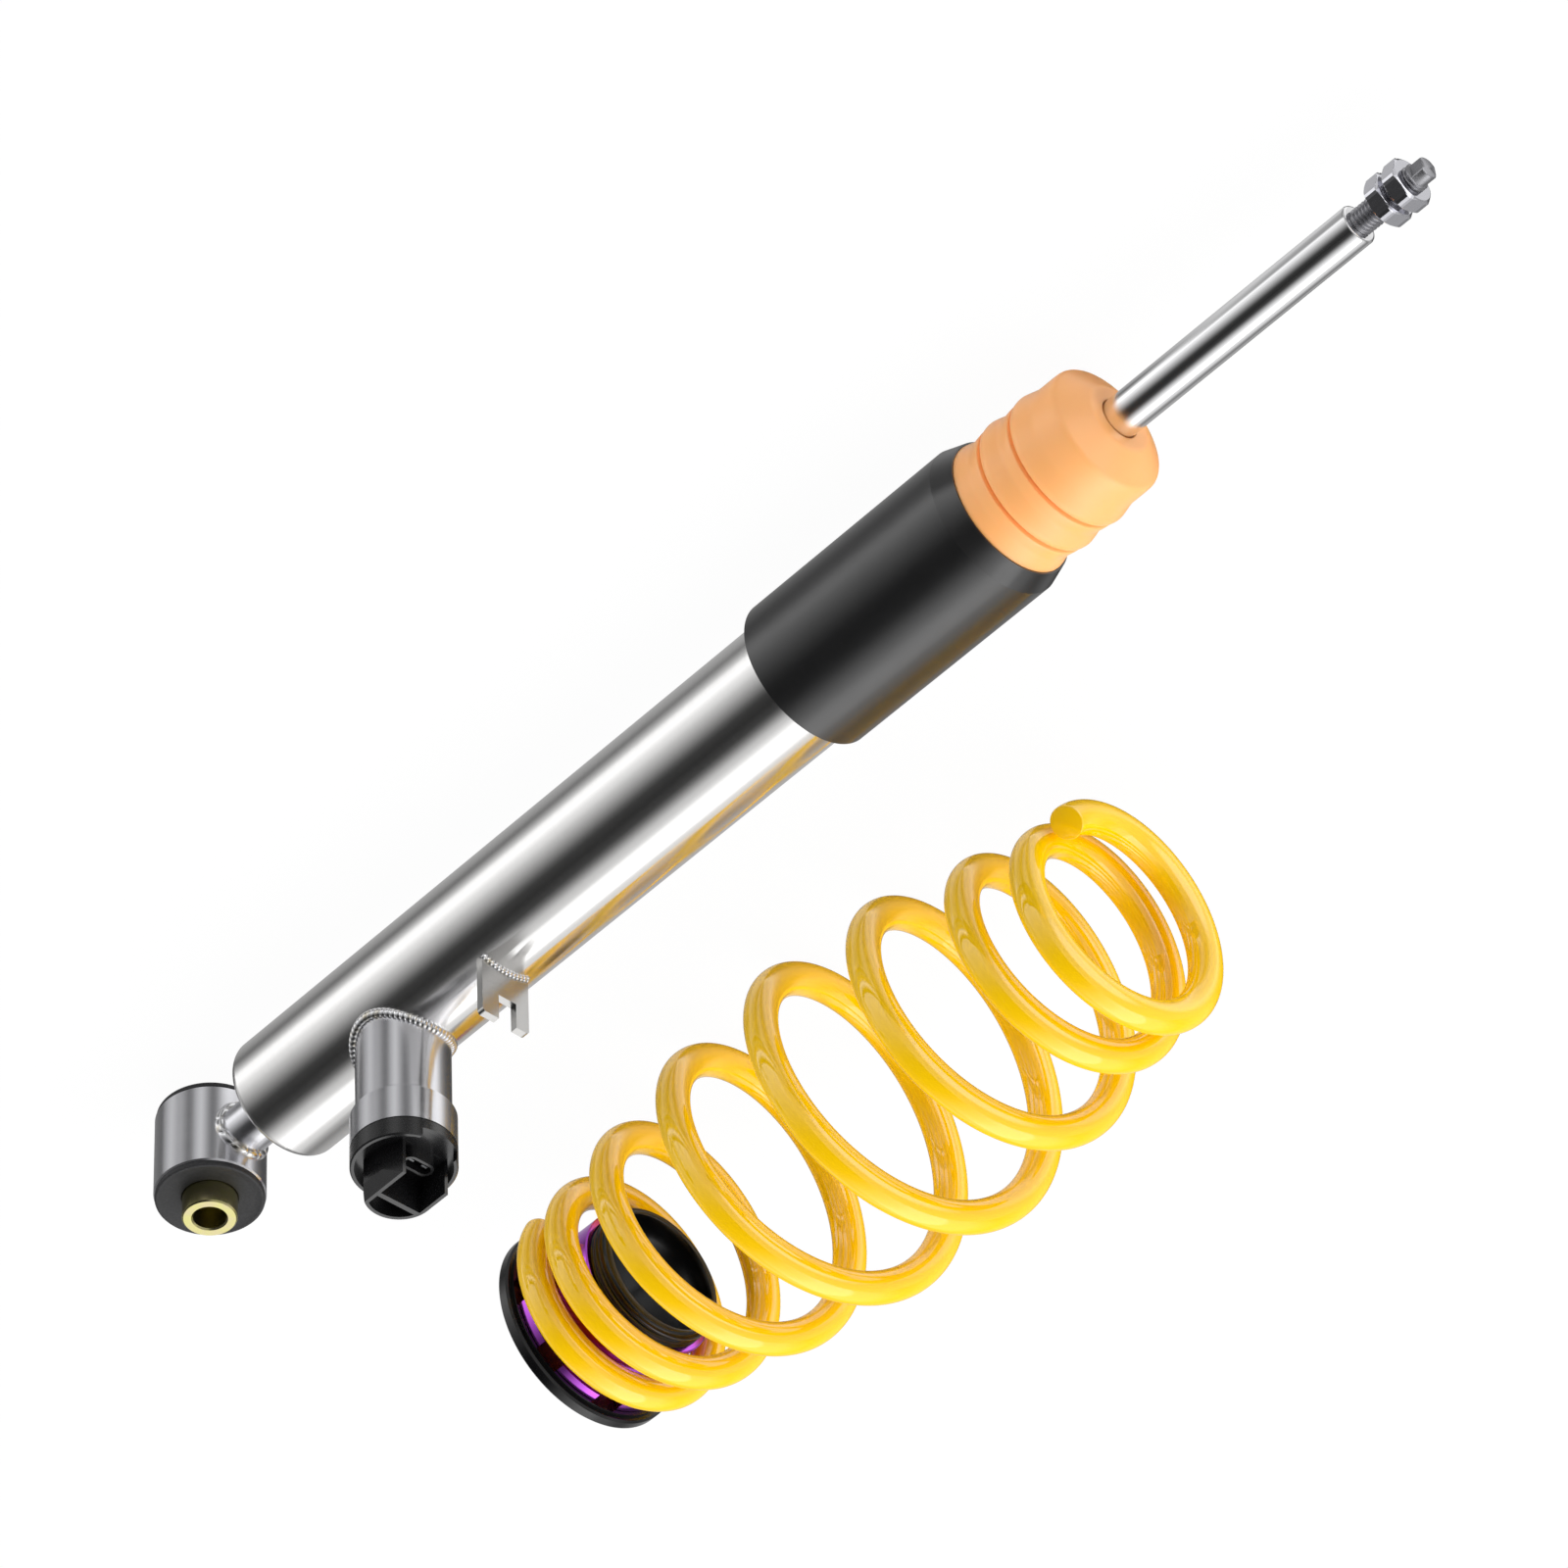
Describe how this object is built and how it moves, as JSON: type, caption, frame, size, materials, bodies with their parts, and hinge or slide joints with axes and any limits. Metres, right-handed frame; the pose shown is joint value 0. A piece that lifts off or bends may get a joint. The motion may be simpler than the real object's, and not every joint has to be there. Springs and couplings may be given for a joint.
{
  "type": "rear damper and barrel spring set",
  "caption": "rear suspension damper with electric side valve, dust sleeve and bump stop, and a barrel coil spring on a screw-adjusted perch beside it",
  "frame": {"origin": "centre of the lower eye's bore, on the damper's axis", "axes": "+X along the damper's axis toward the rod's threaded end; +Z along the eye's bore, the way the side valve and the cable bracket point, up from the floor that the set lies on; +Y completes the right-handed frame, away from the spring"},
  "size_m": [0.6625, 0.2394, 0.1289],
  "materials": {
    "steel_satin": "satin machined steel",
    "steel_weld": "bright weld bead",
    "steel_dark": "oiled inner steel",
    "zinc_yellow": "yellow zinc plate",
    "tube_polished": "polished stainless tube",
    "rod_chrome": "hard chrome, ground",
    "zinc_clear": "clear zinc plate",
    "rubber_black": "bonded rubber",
    "foam_peach": "cellular polyurethane",
    "plastic_black": "satin black plastic",
    "connector_black": "glass-filled plastic",
    "copper": "enamelled copper winding",
    "contact_tin": "tinned contact",
    "anodised_black": "black anodised aluminium",
    "anodised_purple": "purple anodised aluminium",
    "coat_yellow": "gloss yellow powder coat"
  },
  "bodies": {
    "damper": {"eye_sleeve": "steel_satin", "eye_rubber_bush": "rubber_black", "eye_neck": "steel_satin", "eye_weld": "steel_weld", "damper_tube": "tube_polished", "pressure_tube": "steel_dark", "transfer_tube": "steel_dark", "base_valve": "steel_dark", "rod_guide": "steel_dark", "guide_bush": "steel_dark", "rod_seal": "rubber_black", "bump_cap": "steel_dark", "valve_housing": "steel_satin", "valve_weld": "steel_weld", "valve_seat": "steel_dark", "spool_spring": "steel_dark", "solenoid_coil": "copper", "pole_piece": "steel_dark", "housing_o_ring": "rubber_black", "connector_cap": "connector_black", "connector_blades": "contact_tin", "cable_bracket": "steel_satin", "bracket_weld": "steel_weld", "perch_base": "anodised_black", "threaded_pot": "anodised_black"},
    "rod": {"piston_rod": "rod_chrome", "piston": "steel_dark", "piston_band": "connector_black", "piston_shims": "steel_dark", "piston_nut": "zinc_clear", "rebound_stop": "steel_dark", "stud_nuts": "zinc_clear"},
    "boot": {"bump_stop": "foam_peach", "dust_sleeve": "plastic_black"},
    "eye_core": {"eye_inner_sleeve": "zinc_yellow"},
    "spool": {"valve_spool": "steel_dark"},
    "spring": {"coil_spring": "coat_yellow"},
    "adjuster": {"adjuster_ring": "anodised_purple"}
  },
  "joints": [
    {"name": "rod_stroke", "type": "slide", "parent": "damper", "child": "rod", "axis": [1, 0, 0], "range_m": [-0.115, 0], "stiffness_N_per_m": 400, "springref_m": 0.25},
    {"name": "boot_slide", "type": "slide", "parent": "damper", "child": "boot", "axis": [1, 0, 0], "range_m": [-0.005, 0.01]},
    {"name": "eye_twist", "type": "hinge", "parent": "damper", "child": "eye_core", "pos_m": [0, 0, 0], "axis": [0, 0, 1], "range_deg": [-20, 20], "stiffness_Nm_per_rad": 20},
    {"name": "valve_lift", "type": "slide", "parent": "damper", "child": "spool", "axis": [0, 0, 1], "range_m": [0, 0.0012], "stiffness_N_per_m": 2000, "springref_m": -0.002},
    {"name": "seat_lift", "type": "slide", "parent": "damper", "child": "spring", "axis": [1, 0, 0], "range_m": [0, 0.02]},
    {"name": "adjuster_turn", "type": "hinge", "parent": "spring", "child": "adjuster", "pos_m": [0.06, -0.1458, 0.0351], "axis": [1, 0, 0], "range_deg": [0, 2401]}
  ],
  "couplings": [
    {"joint": "adjuster_turn", "follows": "seat_lift", "rad_per_m": 2094.4}
  ]
}
